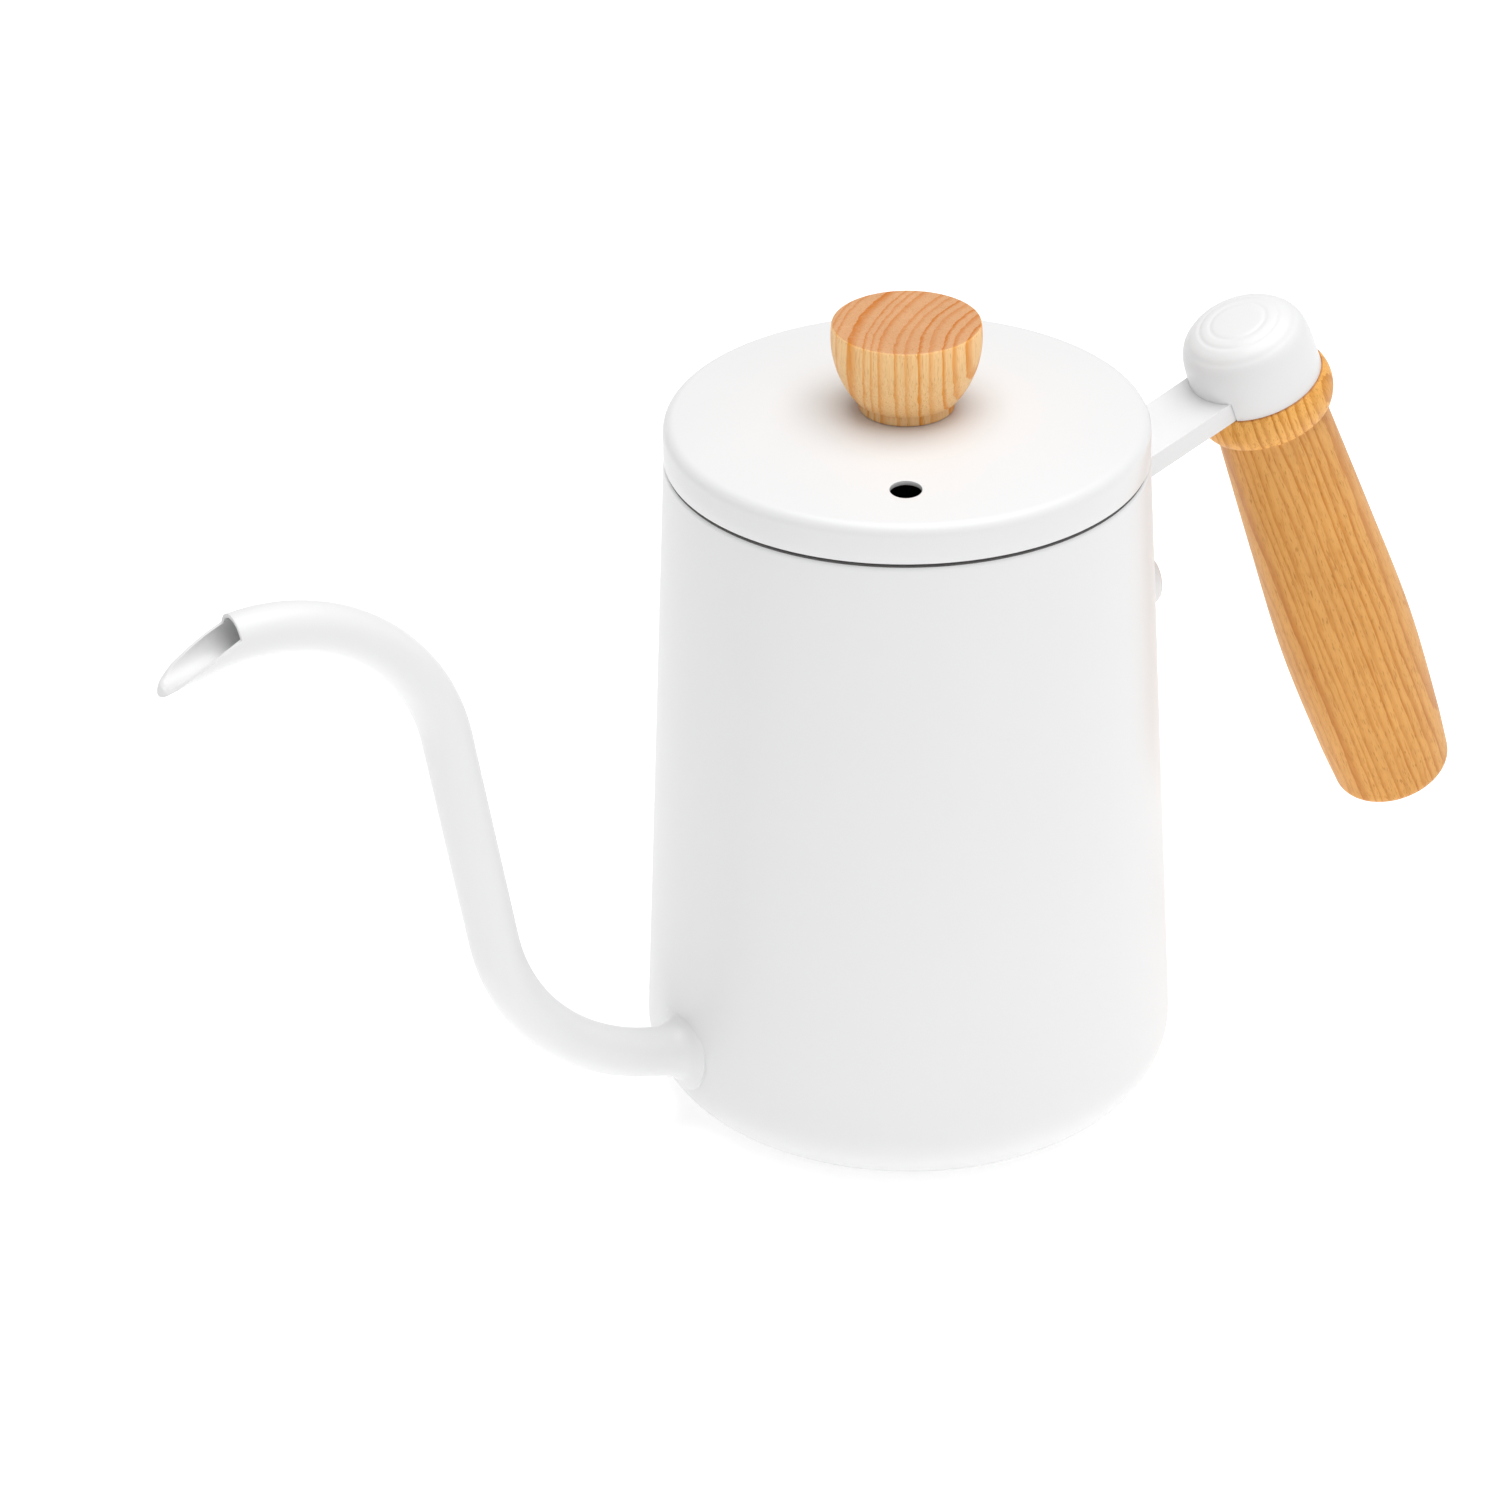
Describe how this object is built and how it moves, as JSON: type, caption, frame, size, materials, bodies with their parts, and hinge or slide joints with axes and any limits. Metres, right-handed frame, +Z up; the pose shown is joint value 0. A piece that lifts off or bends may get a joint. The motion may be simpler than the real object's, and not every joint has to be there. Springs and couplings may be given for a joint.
{
  "type": "gooseneck pour-over kettle",
  "caption": "Tall conical drip kettle with a thin S-shaped gooseneck spout, a vented lift-off lid with a turned wood knob, and a turned wood grip on a flat metal arm.",
  "frame": {"origin": "centre of the flat base, on the surface that the kettle stands on", "axes": "+Z up along the pot's axis; +X towards the handle, -X towards the spout; the XZ plane is the plane of symmetry of pot, spout and handle"},
  "size_m": [0.2698, 0.0988, 0.1543],
  "materials": {
    "white_paint": "satin white baked enamel paint on stainless steel",
    "bare_steel": "fine brushed stainless steel",
    "fastener_steel": "plain machined stainless steel",
    "ash_grip": "oiled ash, warm tan with dark pores",
    "ash_knob": "oiled ash, light tan with orange growth lines",
    "brass": "plain turned brass"
  },
  "bodies": {
    "kettle": {"body_shell": "white_paint", "base_disc": "bare_steel", "spout_tube": "white_paint", "handle_bracket": "white_paint", "bracket_rivet": "white_paint", "rivet_washer": "fastener_steel", "handle_cap": "white_paint", "handle_grip": "ash_grip", "handle_bolt": "fastener_steel", "bolt_washer": "fastener_steel"},
    "lid": {"lid_cover": "white_paint", "lid_collar": "bare_steel", "lid_knob": "ash_knob", "knob_insert": "brass", "knob_screw": "fastener_steel", "knob_washer": "fastener_steel"}
  },
  "joints": [
    {"name": "lid_lift", "type": "slide", "parent": "kettle", "child": "lid", "axis": [0, 0, 1], "range_m": [0, 0.07]}
  ]
}
